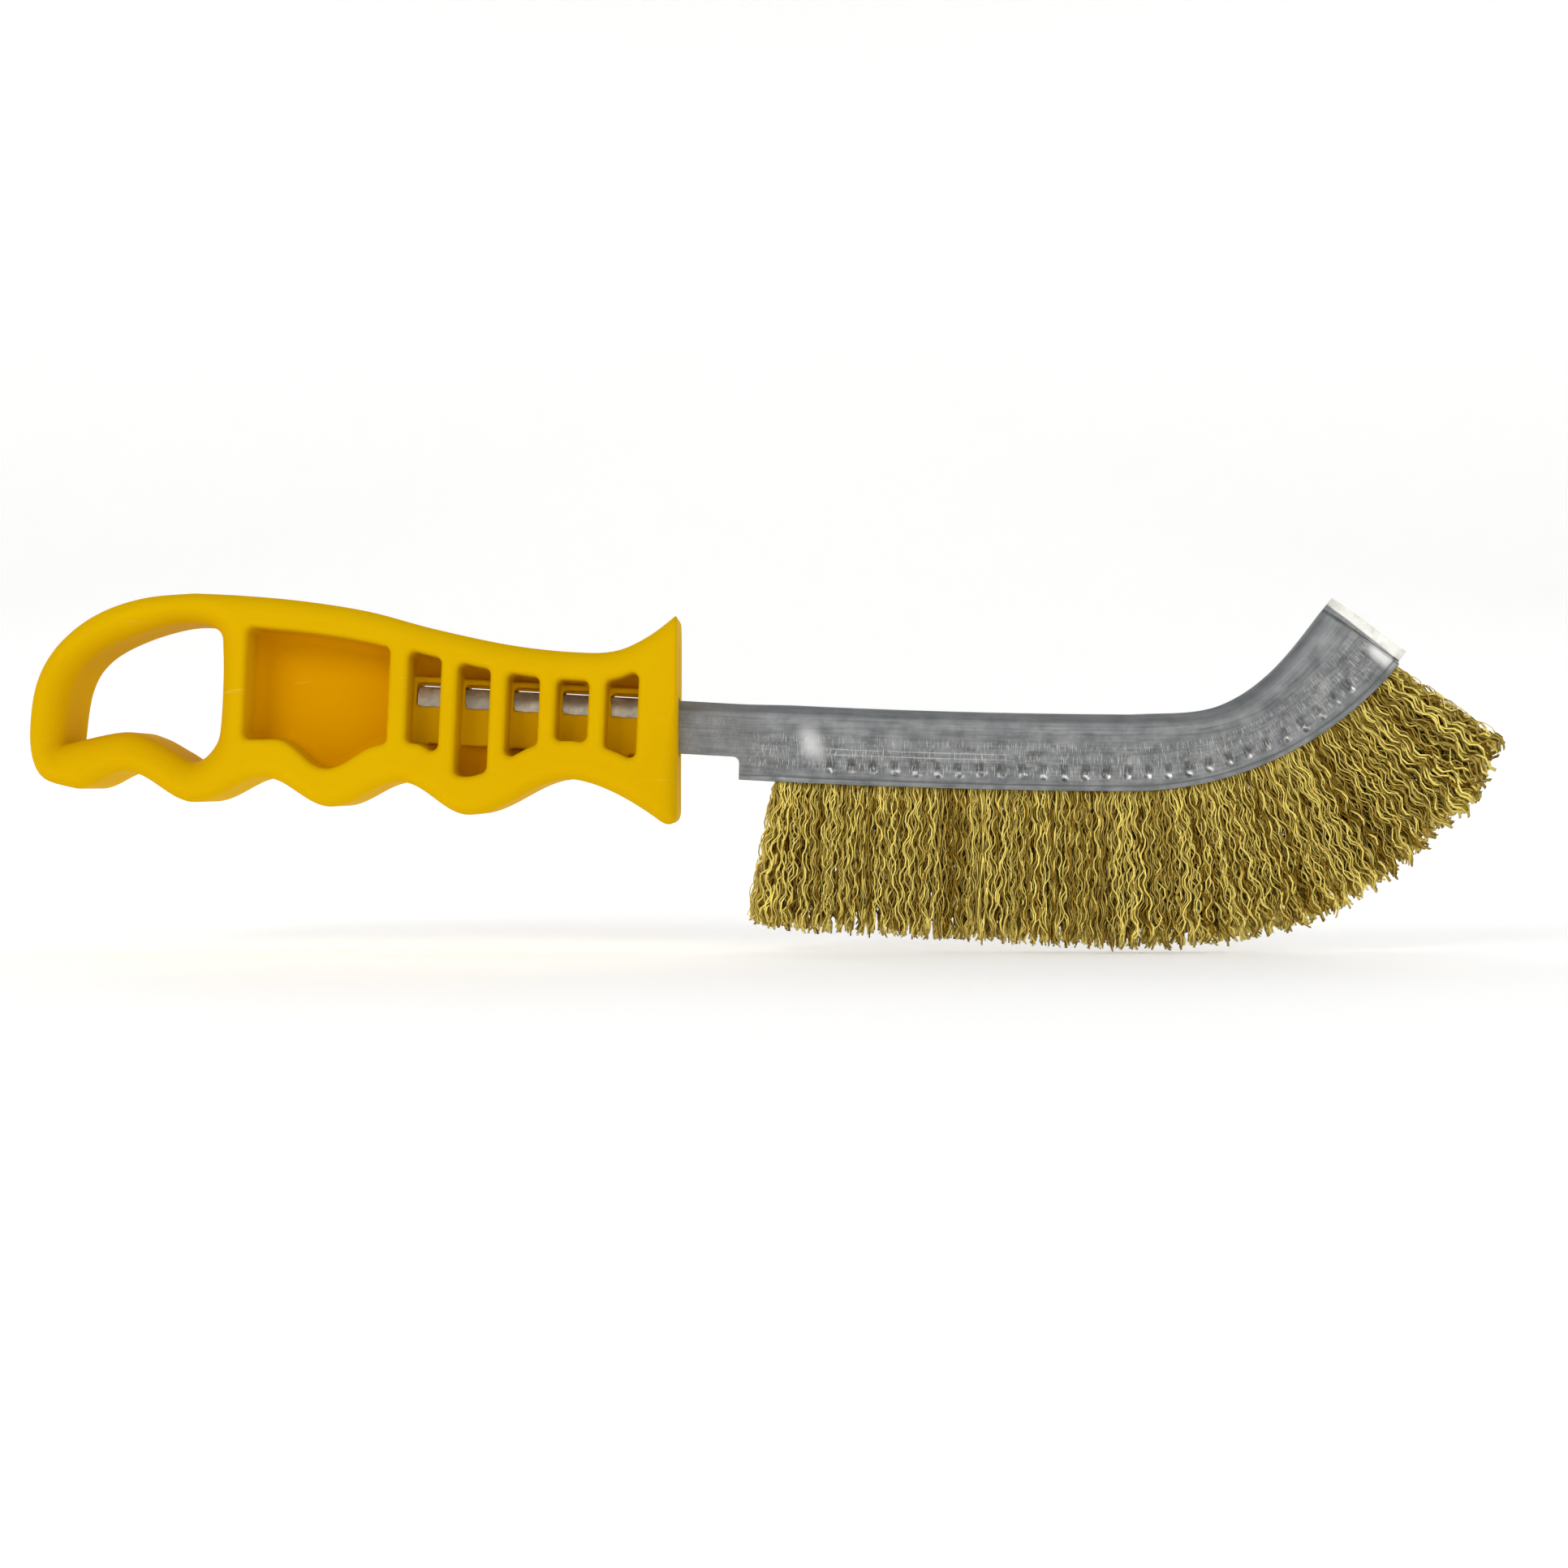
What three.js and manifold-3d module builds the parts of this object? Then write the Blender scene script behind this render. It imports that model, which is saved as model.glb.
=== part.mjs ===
// One-row hand wire brush.
//
// A moulded plastic handle with a hang loop grips the tang of a folded steel strip.
// The strip is a channel that opens downwards, and crimped wires folded over a core
// wire are clamped in it. Millimetres. +X runs from the hang loop to the hooked end
// of the brush, +Z points to the strip's closed spine, the wire tips point down, and
// the brush is symmetric about the plane Y = 0. The origin is on the surface that the
// wire tips stand on, under the middle of the brush's length.
import * as THREE from 'three';
import { mergeVertices } from 'three/addons/utils/BufferGeometryUtils.js';
import Module from 'manifold-3d';

const wasm = await Module();
wasm.setup();

// --- Driving dimensions ---------------------------------------------------------

const CLEARANCE = 0.3; // gap left between neighbouring pieces

// Strip: folded sheet, measured from its open lip (v = 0) up to its spine.
const STRIP_DEPTH = 13.6;
const SHEET = 0.7;
const SPINE_RISE = 2.3; // height of the rounded spine above the straight legs
const CHANNEL_GAP = 5.0; // inside width where the wires are clamped
const TANG_GAP = 3.0; // inside width where the strip is squeezed into a tang
const TANG_UNDERCUT = 4.1; // the tang's lower edge lies this far above the lip line
const NOTCH_RADIUS = 1.2;

// The lip line, from the tang's inner end to the tip, as straight and round stretches.
const LIP_START = new THREE.Vector2(-64.4, 34.36);
const LIP_HEADING = -3.2; // degrees above +X
const TANG_LENGTH = 58.0;
const BOW_LENGTH = 69.5;
const BOW_TURN = 2.9; // degrees
const HOOK_RADIUS = 62.45;
const HOOK_TURN = 53.6; // degrees

// Wires: bundles of crimped wire folded over a core wire.
const BUNDLE_COUNT = 30;
const WIRE_START = TANG_LENGTH + 6.7; // along the lip line
const WIRE_END = 179.2;
const TRIM = 29.0; // free length of the wires where the lip is lowest
// Free length of the wires against distance along the lip: short at both ends, and
// longest over the start of the hook.
const TRIM_LINE = [
  [64.7, 25.9], [68, 27.4], [90, 27.6], [122, 28.93], [131, 29.02], [144, 30.2],
  [150, 30.8], [162, 29.8], [168, 28.3], [174, 28.4], [179.2, 24.4],
];
const LEAN_FIRST = 3.7; // how far the tips lean out at the handle's end
const LEAN_LAST = 1.6; // and at the hook's end
const SPREAD_LAST = 3.4; // how far the hook's last wires spread inside the channel
const CORE_RADIUS = 0.8;
const CORE_HEIGHT = 10.3; // core wire's axis above the lip
const TIP_HALF_WIDTH = 4.7; // half the brush's thickness at the tips
const SPLAY_REACH = 14; // length of brush over which the outermost wires lean out

// Handle: one moulding, its outline drawn in the XZ plane.
const HANDLE_THICKNESS = 20;
const EDGE_RADIUS = 2;
const WEB_THICKNESS = 2;
const GUARD_X = -17.1; // the guard's flat front face
const TOP_RIM = 5.3; // rim between the top edge and the pockets
const GRIP_RIM = 6.7; // rim between the finger edge and the pockets
const POCKET_LEFT = -93.0;
const POCKET_RIGHT = -67.8;
const WINDOW_COUNT = 5;
const WINDOW_LEFT = -64.5; // left side of the first window
const WINDOW_PITCH = 8.7;
const WINDOW_WIDTH = 5.8;
const RIB_LEAN = 0.045; // the ribs lean towards +X by this much for each unit of height
const RIB_MID_Z = 45;
const SLEEVE_WALL = 1.0;
const SLEEVE_CROWN = 1.7; // sleeve above the tang's spine
const SLOT_TOP = 0.15; // the sleeve's side slots start this far below the spine
const SLOT_HEIGHT = 3.5;

// --- Materials ------------------------------------------------------------------

const plastic = new THREE.MeshStandardMaterial({ color: 0xe0b000, roughness: 0.4, metalness: 0 });
const steel = new THREE.MeshStandardMaterial({ color: 0x93989c, roughness: 0.45, metalness: 1 });
const coreSteel = new THREE.MeshStandardMaterial({ color: 0x77797b, roughness: 0.5, metalness: 1 });
const brass = new THREE.MeshStandardMaterial({ color: 0xb9973c, roughness: 0.35, metalness: 1 });

// --- Solids ---------------------------------------------------------------------

// Turns a closed geometry into a solid that can be joined and cut.
function solidOf(geometry) {
  const bare = geometry.clone();
  bare.deleteAttribute('normal');
  bare.deleteAttribute('uv');
  const merged = mergeVertices(bare, 1e-4);
  const vertProperties = new Float32Array(merged.attributes.position.array);
  const triVerts = new Uint32Array(merged.index.array);
  return new wasm.Manifold(new wasm.Mesh({ numProp: 3, vertProperties, triVerts }));
}

function geometryOf(solid) {
  const mesh = solid.getMesh();
  const geometry = new THREE.BufferGeometry();
  geometry.setAttribute('position', new THREE.BufferAttribute(mesh.vertProperties, 3));
  geometry.setIndex(new THREE.BufferAttribute(mesh.triVerts, 1));
  geometry.computeVertexNormals();
  return geometry;
}

function named(name, geometry, material) {
  const mesh = new THREE.Mesh(geometry, material);
  mesh.name = name;
  return mesh;
}

// Values at even steps from a to b, both included.
function spaced(a, b, count) {
  return Array.from({ length: count + 1 }, (_, i) => a + ((b - a) * i) / count);
}

// --- The lip line ---------------------------------------------------------------

const radians = THREE.MathUtils.degToRad;
const LIP_STRETCHES = [
  { length: TANG_LENGTH, turn: 0 },
  { length: BOW_LENGTH, turn: radians(BOW_TURN) },
  { length: HOOK_RADIUS * radians(HOOK_TURN), turn: radians(HOOK_TURN) },
];
const LIP_LENGTH = LIP_STRETCHES.reduce((sum, stretch) => sum + stretch.length, 0);

// The point (x, z) and heading of the lip line at the distance s from its start.
function lipAt(s) {
  let { x, y: z } = LIP_START;
  let heading = radians(LIP_HEADING);
  let left = s;
  for (const { length, turn } of LIP_STRETCHES) {
    const last = turn === LIP_STRETCHES.at(-1).turn;
    const run = last ? left : Math.min(left, length);
    const bend = (turn * run) / length;
    if (bend === 0) {
      x += run * Math.cos(heading);
      z += run * Math.sin(heading);
    } else {
      const radius = run / bend;
      x += radius * (Math.sin(heading + bend) - Math.sin(heading));
      z += radius * (Math.cos(heading) - Math.cos(heading + bend));
    }
    heading += bend;
    left -= run;
  }
  return { x, z, heading };
}

// How much deeper than the tang the channel is at s. Bending the hook draws the
// spine in a little, and pinching the end spreads it out.
function depthFactor(s) {
  const { smoothstep } = THREE.MathUtils;
  return 1 + 0.02 * smoothstep(s, 57, 68) - 0.095 * smoothstep(s, 131, 149)
    + 0.28 * smoothstep(s, 148, 184);
}

// Extrudes a section drawn in (u, v), across the brush and up from the lip, through
// the stations along the lip line. shift moves a point of the section first.
function alongLip(section, stations, shift = (point) => point) {
  const steps = stations.length - 1;
  const options = { depth: steps, steps, bevelEnabled: false, curveSegments: 5 };
  const geometry = new THREE.ExtrudeGeometry(section, options);
  const position = geometry.attributes.position;
  for (let i = 0; i < position.count; i += 1) {
    const station = stations[Math.round(position.getZ(i))];
    const { s, u, v } = shift({ s: station, u: position.getX(i), v: position.getY(i) });
    const height = v > 0 ? v * depthFactor(s) : v;
    const { x, z, heading } = lipAt(s);
    position.setXYZ(i, x - height * Math.sin(heading), u, z + height * Math.cos(heading));
  }
  return geometry;
}

// --- Strip ----------------------------------------------------------------------

// The folded sheet's section: straight legs under a rounded spine.
function stripSection() {
  const inner = CHANNEL_GAP / 2;
  const outer = inner + SHEET;
  const legTop = STRIP_DEPTH - SPINE_RISE;
  const legs = spaced(0, legTop, 4);
  const arcSteps = 8;
  const arch = (half, rise) =>
    spaced(0, Math.PI, arcSteps).map(
      (angle) => new THREE.Vector2(half * Math.cos(angle), legTop + rise * Math.sin(angle)),
    );
  const outside = [
    ...legs.slice(0, -1).map((v) => new THREE.Vector2(outer, v)),
    ...arch(outer, SPINE_RISE),
    ...legs.slice(0, -1).reverse().map((v) => new THREE.Vector2(-outer, v)),
  ];
  const inside = [
    ...legs.slice(0, -1).map((v) => new THREE.Vector2(inner, v)),
    ...arch(inner, SPINE_RISE - SHEET),
    ...legs.slice(0, -1).reverse().map((v) => new THREE.Vector2(-inner, v)),
  ];
  return new THREE.Shape([...outside, ...inside.reverse()]);
}

// Squeezes the channel's section to the gap that the strip has at s: narrow along the
// tang, full where the wires are, and pinched shut behind the flat end lip.
function shapeStrip({ s, u, v }) {
  const full = CHANNEL_GAP / 2;
  const widen = THREE.MathUtils.smoothstep(s, TANG_LENGTH + 2.5, WIRE_START - 0.5);
  const open = THREE.MathUtils.lerp(TANG_GAP / 2, full, widen);
  const lipWidth = 2.0 + (1.4 * v) / STRIP_DEPTH;
  const pinch = THREE.MathUtils.clamp((LIP_LENGTH - s - lipWidth) / 1.2, 0, 1);
  const gap = THREE.MathUtils.lerp(0.1, open, pinch);
  const size = Math.abs(u);
  const squeezed = size <= full ? (size * gap) / full : gap + size - full;
  return { s, u: Math.sign(u) * squeezed, v };
}

function stripSolid() {
  const hookStart = TANG_LENGTH + BOW_LENGTH;
  const stations = [
    ...spaced(0, TANG_LENGTH + 2.5, 3),
    ...spaced(TANG_LENGTH + 3.5, WIRE_START - 0.5, 4),
    ...spaced(WIRE_START + 15, hookStart, 4),
    ...spaced(hookStart + 3.5, LIP_LENGTH - 4.6, 14),
    ...spaced(LIP_LENGTH - 4, LIP_LENGTH, 7),
  ];
  const strip = solidOf(alongLip(stripSection(), stations, shapeStrip));
  return strip.subtract(undercutSolid());
}

// What is cut from below the tang, with a rounded inner corner beside the channel.
function undercutSolid() {
  const reach = 5;
  const cut = new THREE.Shape();
  cut.moveTo(-reach, -reach);
  cut.lineTo(TANG_LENGTH, -reach);
  cut.lineTo(TANG_LENGTH, TANG_UNDERCUT - NOTCH_RADIUS);
  const centre = TANG_LENGTH - NOTCH_RADIUS;
  cut.absarc(centre, TANG_UNDERCUT - NOTCH_RADIUS, NOTCH_RADIUS, 0, Math.PI / 2);
  cut.lineTo(-reach, TANG_UNDERCUT);
  return solidOf(onTang(cut, 2 * reach, 3));
}

// Extrudes a shape drawn in (s, v) across the brush, centred on Y = 0, on the tang.
function onTang(shape, width, curveSegments = 1) {
  const options = { depth: width, bevelEnabled: false, curveSegments };
  const geometry = new THREE.ExtrudeGeometry(shape, options);
  geometry.translate(0, 0, -width / 2);
  geometry.rotateX(Math.PI / 2);
  geometry.rotateY(-radians(LIP_HEADING));
  geometry.translate(LIP_START.x, 0, LIP_START.y);
  return geometry;
}

// --- Wires ----------------------------------------------------------------------

// One where s is at the given end of the wires, falling to nothing inside them.
function nearEnd(s, end) {
  return Math.max(0, 1 - Math.abs(s - end) / SPLAY_REACH) ** 2;
}

function trimAt(s) {
  const next = Math.max(1, TRIM_LINE.findIndex(([station]) => station > s));
  const [from, to] = [TRIM_LINE[next - 1], TRIM_LINE[next]];
  return THREE.MathUtils.mapLinear(s, from[0], to[0], from[1], to[1]);
}

// Leans the outermost wires out of the ends of the brush and trims them all.
function splayWires({ s, u, v }) {
  const { clamp } = THREE.MathUtils;
  const below = clamp(-v / TRIM, 0, 1);
  const inside = clamp((8 - v) / 8, 0, 1);
  const out = SPREAD_LAST * inside + LEAN_LAST * below;
  const lean = out * nearEnd(s, WIRE_END) - LEAN_FIRST * below * nearEnd(s, WIRE_START);
  return { s: s + lean, u, v: v < 0 ? (v * trimAt(s)) / TRIM : v };
}

// A bundle is a hairpin: two legs of wire hanging from an arch over the core wire.
function bundleSection() {
  const half = CHANNEL_GAP / 2 - CLEARANCE;
  const archBase = STRIP_DEPTH - SPINE_RISE;
  const archRise = SPINE_RISE - SHEET - CLEARANCE;
  const bore = CORE_RADIUS + CLEARANCE;
  const slot = CLEARANCE / 2;
  const section = new THREE.Shape();
  section.moveTo(half, -1);
  section.lineTo(half, archBase);
  section.absellipse(0, archBase, half, archRise, 0, Math.PI);
  section.lineTo(-half, -1);
  section.lineTo(-TIP_HALF_WIDTH, -TRIM);
  section.lineTo(-slot * 4, -TRIM);
  section.lineTo(-slot, -1);
  section.lineTo(-slot, CORE_HEIGHT - bore);
  section.absarc(0, CORE_HEIGHT, bore, radians(250), radians(-70), true);
  section.lineTo(slot, CORE_HEIGHT - bore);
  section.lineTo(slot, -1);
  section.lineTo(slot * 4, -TRIM);
  section.lineTo(TIP_HALF_WIDTH, -TRIM);
  return section;
}

function bundleGeometry(index) {
  const pitch = (WIRE_END - WIRE_START) / BUNDLE_COUNT;
  const start = WIRE_START + index * pitch;
  const stations = spaced(start + CLEARANCE / 2, start + pitch - CLEARANCE / 2, 1);
  return alongLip(bundleSection(), stations, splayWires);
}

function coreWireGeometry() {
  const section = new THREE.Shape();
  section.absarc(0, CORE_HEIGHT, CORE_RADIUS, 0, 2 * Math.PI);
  return alongLip(section, spaced(WIRE_START, WIRE_END, 34));
}

// --- Handle ---------------------------------------------------------------------

// The top edge, from the guard's sharp corner over the neck and palm to the loop.
const TOP_EDGE = new THREE.SplineCurve([
  new THREE.Vector2(GUARD_X, 60.3),
  new THREE.Vector2(-22.1, 56.5),
  new THREE.Vector2(-27.8, 53.9),
  new THREE.Vector2(-34.7, 53.6),
  new THREE.Vector2(-46.1, 54.8),
  new THREE.Vector2(-59.9, 57.7),
  new THREE.Vector2(-71.4, 60.75),
  new THREE.Vector2(-82.9, 62.6),
  new THREE.Vector2(-93.8, 63.6),
  new THREE.Vector2(-102.3, 64.0),
]).getPoints(26);

// The loop's outer end, from the top edge round to the first finger bump.
const LOOP_END = new THREE.SplineCurve([
  new THREE.Vector2(-102.3, 64.0),
  new THREE.Vector2(-110.4, 63.3),
  new THREE.Vector2(-117.3, 61.3),
  new THREE.Vector2(-123.0, 58.0),
  new THREE.Vector2(-127.6, 53.2),
  new THREE.Vector2(-130.3, 47.3),
  new THREE.Vector2(-131.3, 39.8),
  new THREE.Vector2(-130.7, 34.4),
  new THREE.Vector2(-128.5, 31.1),
  new THREE.Vector2(-123.0, 29.5),
]).getPoints(24);

// The finger edge swings between these bumps and hollows in half cosine waves.
const FINGER_WAVES = [
  new THREE.Vector2(-123.0, 29.5),
  new THREE.Vector2(-114.4, 32.55),
  new THREE.Vector2(-102.3, 27.15),
  new THREE.Vector2(-90.05, 31.5),
  new THREE.Vector2(-78.3, 26.35),
  new THREE.Vector2(-66.0, 30.7),
  new THREE.Vector2(-53.9, 24.9),
  new THREE.Vector2(-36.1, 31.2),
];
const GUARD_FOOT = new THREE.Vector2(GUARD_X, 21.4);

function fingerHeight(x) {
  const end = FINGER_WAVES.at(-1);
  if (x >= end.x) {
    const t = (x - end.x) / (GUARD_FOOT.x - end.x);
    return end.y + (GUARD_FOOT.y - end.y) * t ** 1.6;
  }
  const next = Math.max(1, FINGER_WAVES.findIndex((point) => point.x > x));
  const [from, to] = [FINGER_WAVES[next - 1], FINGER_WAVES[next]];
  const t = (x - from.x) / (to.x - from.x);
  return from.y + ((to.y - from.y) * (1 - Math.cos(Math.PI * t))) / 2;
}

function topHeight(x) {
  const next = TOP_EDGE.findIndex((point) => point.x < x);
  const [from, to] = [TOP_EDGE[next - 1], TOP_EDGE[next]];
  return THREE.MathUtils.mapLinear(x, from.x, to.x, from.y, to.y);
}

// Height of the pockets' lower side: the finger edge moved in by its rim's thickness.
function pocketFloor(x) {
  const slope = (fingerHeight(x + 0.01) - fingerHeight(x - 0.01)) / 0.02;
  return fingerHeight(x) + GRIP_RIM * Math.hypot(1, slope);
}

// The outline keeps its points clear of the guard's two sharp corners, so that the
// rounding of the edges can move them in.
function handleOutline() {
  const flareEnd = GUARD_X - 2.5 * EDGE_RADIUS;
  const fingers = spaced(LOOP_END.at(-1).x, flareEnd, 38);
  const outline = new THREE.Shape([
    TOP_EDGE[0],
    ...TOP_EDGE.filter((point) => point.x < flareEnd),
    ...LOOP_END.slice(1),
    ...fingers.slice(1).map((x) => new THREE.Vector2(x, fingerHeight(x))),
    GUARD_FOOT,
  ]);
  outline.holes.push(new THREE.Path(loopHole()));
  return outline;
}

// The hang loop's opening: it follows the loop's bar, comes to a corner over the first
// bump, and dips into the second.
function loopHole() {
  const sides = new THREE.SplineCurve([
    new THREE.Vector2(-125.8, 37.3),
    new THREE.Vector2(-124.4, 46.9),
    new THREE.Vector2(-120.9, 52.5),
    new THREE.Vector2(-113.8, 56.4),
    new THREE.Vector2(-105.0, 58.7),
    new THREE.Vector2(-98.6, 57.7),
    new THREE.Vector2(-97.5, 53.4),
    new THREE.Vector2(-97.9, 41.1),
    new THREE.Vector2(-99.1, 36.8),
    new THREE.Vector2(-102.4, 34.2),
    new THREE.Vector2(-106.2, 36.1),
    new THREE.Vector2(-110.8, 38.6),
    new THREE.Vector2(-115.6, 39.5),
    new THREE.Vector2(-125.8, 37.3),
  ]);
  return sides.getPoints(36).slice(1);
}

function pocketSolid(left, right) {
  const lean = (x, z) => new THREE.Vector2(x + RIB_LEAN * (z - RIB_MID_Z), z);
  const columns = spaced(left, right, right - left > 2 * WINDOW_WIDTH ? 10 : 3);
  const shape = new THREE.Shape([
    ...columns.map((x) => lean(x, pocketFloor(x))),
    ...columns.map((x) => lean(x, topHeight(x) - TOP_RIM)).reverse(),
  ]);
  const depth = (HANDLE_THICKNESS - WEB_THICKNESS) / 2 + 1;
  const geometry = new THREE.ExtrudeGeometry(shape, { depth, bevelEnabled: false });
  geometry.rotateX(Math.PI / 2);
  const near = solidOf(geometry.clone().translate(0, -WEB_THICKNESS / 2, 0));
  const far = solidOf(geometry.clone().translate(0, depth + WEB_THICKNESS / 2, 0));
  return near.add(far);
}

// A rectangle in (s, v) as a shape.
function rectangle(s0, s1, v0, v1) {
  const corners = [[s0, v0], [s1, v0], [s1, v1], [s0, v1]];
  return new THREE.Shape(corners.map(([s, v]) => new THREE.Vector2(s, v)));
}

function handleSolid() {
  const options = {
    depth: HANDLE_THICKNESS - 2 * EDGE_RADIUS,
    bevelThickness: EDGE_RADIUS,
    bevelSize: EDGE_RADIUS,
    bevelOffset: -EDGE_RADIUS,
    bevelSegments: 2,
  };
  const body = new THREE.ExtrudeGeometry(handleOutline(), options);
  body.translate(0, 0, EDGE_RADIUS - HANDLE_THICKNESS / 2);
  body.rotateX(Math.PI / 2);
  let handle = solidOf(body).subtract(pocketSolid(POCKET_LEFT, POCKET_RIGHT));

  const lefts = Array.from({ length: WINDOW_COUNT }, (_, i) => WINDOW_LEFT + i * WINDOW_PITCH);
  for (const left of lefts) {
    handle = handle.subtract(pocketSolid(left, left + WINDOW_WIDTH));
  }

  // The sleeve carries the tang across the windows; slots in its sides bare the spine.
  const tangWidth = TANG_GAP + 2 * SHEET + 2 * CLEARANCE;
  const bottom = TANG_UNDERCUT - CLEARANCE;
  const guardSide = lefts.at(-1) + WINDOW_WIDTH - LIP_START.x;
  const sleeve = rectangle(-1.5, guardSide + 2, bottom - 0.5, STRIP_DEPTH + SLEEVE_CROWN);
  handle = handle.add(solidOf(onTang(sleeve, tangWidth + 2 * SLEEVE_WALL)));
  const socket = rectangle(-CLEARANCE, TANG_LENGTH, bottom, STRIP_DEPTH + CLEARANCE);
  handle = handle.subtract(solidOf(onTang(socket, tangWidth)));
  const slotTop = STRIP_DEPTH - SLOT_TOP;
  for (const left of lefts) {
    const start = left - LIP_START.x + 0.05;
    const slot = rectangle(start, start + WINDOW_WIDTH, slotTop - SLOT_HEIGHT, slotTop);
    handle = handle.subtract(solidOf(onTang(slot, tangWidth + 2 * SLEEVE_WALL + 1)));
  }
  return handle;
}

// --- Assembly -------------------------------------------------------------------

const brush = new THREE.Group();
brush.add(named('handle', geometryOf(handleSolid()), plastic));
brush.add(named('brush_strip', geometryOf(stripSolid()), steel));
brush.add(named('core_wire', coreWireGeometry(), coreSteel));

const wires = new THREE.Group();
for (let i = 0; i < BUNDLE_COUNT; i += 1) {
  const name = `wire_bundle_${String(i + 1).padStart(2, '0')}`;
  wires.add(named(name, bundleGeometry(i), brass));
}
brush.add(wires);

export default brush;
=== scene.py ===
import math

import bpy
import numpy as np
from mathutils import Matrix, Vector


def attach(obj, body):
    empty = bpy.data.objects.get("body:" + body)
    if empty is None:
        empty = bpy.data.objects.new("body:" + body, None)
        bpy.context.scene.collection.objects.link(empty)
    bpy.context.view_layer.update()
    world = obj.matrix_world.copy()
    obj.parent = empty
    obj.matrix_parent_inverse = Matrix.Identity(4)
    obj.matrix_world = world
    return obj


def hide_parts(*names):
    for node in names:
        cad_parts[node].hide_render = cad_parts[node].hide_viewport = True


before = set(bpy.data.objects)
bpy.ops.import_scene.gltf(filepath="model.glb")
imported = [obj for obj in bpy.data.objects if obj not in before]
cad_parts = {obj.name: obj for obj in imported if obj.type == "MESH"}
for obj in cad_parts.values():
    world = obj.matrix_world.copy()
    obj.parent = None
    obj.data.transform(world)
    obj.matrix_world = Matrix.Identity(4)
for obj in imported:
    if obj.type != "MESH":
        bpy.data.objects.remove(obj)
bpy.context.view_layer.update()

# --- Camera ---------------------------------------------------------------------
# Stands level with the handle and looks square at the near side of the brush, so
# the whole length is seen with little perspective.

CAMERA_PLACE = (0.00172, -0.3916, 0.03035)

camera = bpy.data.objects.new("camera", bpy.data.cameras.new("camera"))
camera.location = CAMERA_PLACE
camera.rotation_euler = (math.radians(90), 0, 0)
camera.data.lens = 50
camera.data.sensor_width = 36
camera.data.clip_start = 0.01
bpy.context.scene.collection.objects.link(camera)
bpy.context.scene.camera = camera
bpy.context.scene.view_settings.view_transform = "Standard"

# --- Stage ----------------------------------------------------------------------
# A pale floor that curves up into a low round wall, like a paper sweep on every
# side, under soft square lights and an even white sky.

FLOOR_RADIUS = 0.95
SWEEP_RADIUS = 0.55
WALL_HEIGHT = 1.2
STAGE_MIDDLE = 0.00001  # radius of the floor's innermost ring
LIGHT_AIM = (0, 0, 0.03)
STAGE_WHITE = (0.9, 0.9, 0.895, 1)
STAGE_GLOW = 0.31
SKY_STRENGTH = 0.22
LIGHTS = {  # place, size, watts
    "light_key": ((-0.55, -0.85, 0.6), 0.38, 2.7),
    "light_fill": ((0.75, -0.75, 0.45), 0.5, 0.65),
    "light_top": ((0.1, 0.15, 1.1), 0.6, 1.3),
    "light_back_left": ((-0.7, 0.8, 0.6), 0.6, 1.3),
    "light_back_right": ((0.7, 0.8, 0.6), 0.6, 1.3),
}


class Shade:
    """A shader socket on which Python's operators work, each adding a Math node."""

    def __init__(self, tree, socket=None):
        self.tree = tree
        self.socket = socket

    def node(self, kind, settings=None, inputs=None, output=0):
        """Adds a node, sets its settings and then its sockets, and gives an output."""
        made = self.tree.nodes.new(kind)
        for name, value in (settings or {}).items():
            setattr(made, name, value)
        for key, value in (inputs or {}).items():
            if isinstance(value, Shade):
                self.tree.links.new(value.socket, made.inputs[key])
            else:
                made.inputs[key].default_value = value
        return Shade(self.tree, made.outputs[output])

    def maths(self, operation, first, second=0.0):
        """One Math node on one or two values."""
        inputs = {0: first, 1: second}
        return self.node("ShaderNodeMath", {"operation": operation}, inputs)

    def __add__(self, other):
        return self.maths("ADD", self, other)

    def __radd__(self, other):
        return self.maths("ADD", other, self)

    def __sub__(self, other):
        return self.maths("SUBTRACT", self, other)

    def __rsub__(self, other):
        return self.maths("SUBTRACT", other, self)

    def __mul__(self, other):
        return self.maths("MULTIPLY", self, other)

    def __rmul__(self, other):
        return self.maths("MULTIPLY", other, self)

    def __abs__(self):
        return self.maths("ABSOLUTE", self)

    def step(self, start, end):
        """Rises smoothly from 0 to 1 as the value goes from start to end."""
        inputs = {"Value": self, "From Min": start, "From Max": end}
        return self.node("ShaderNodeMapRange", {"interpolation_type": "SMOOTHSTEP"}, inputs)

    def band(self, middle, half_width, soft):
        """One within half_width of the middle, falling to 0 over the soft edge."""
        return abs(self - middle).step(half_width + soft, half_width)

    def mix(self, first, second):
        """The first colour where the value is 0, the second where it is 1. Sockets 6
        and 7 and output 2 are the node's colours."""
        inputs = {"Factor": self, 6: first, 7: second}
        return self.node("ShaderNodeMix", {"data_type": "RGBA"}, inputs, output=2)

    def stretched(self, scale, turn=(0, 0, 0)):
        """A vector scaled along each axis, and turned."""
        inputs = {"Vector": self, "Scale": scale, "Rotation": turn}
        return self.node("ShaderNodeMapping", None, inputs)

    def noise(self, scale, detail=2.0, roughness=0.5):
        """Cloudy noise read at this vector, around 0.5."""
        inputs = {"Vector": self, "Scale": scale, "Detail": detail, "Roughness": roughness}
        return self.node("ShaderNodeTexNoise", {"noise_dimensions": "3D"}, inputs)


def start_material(name):
    """A new material: its tree as a Shade, and its shader node."""
    material = bpy.data.materials.new(name)
    material.use_nodes = True
    tree = material.node_tree
    return material, Shade(tree), tree.nodes["Principled BSDF"]


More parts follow.
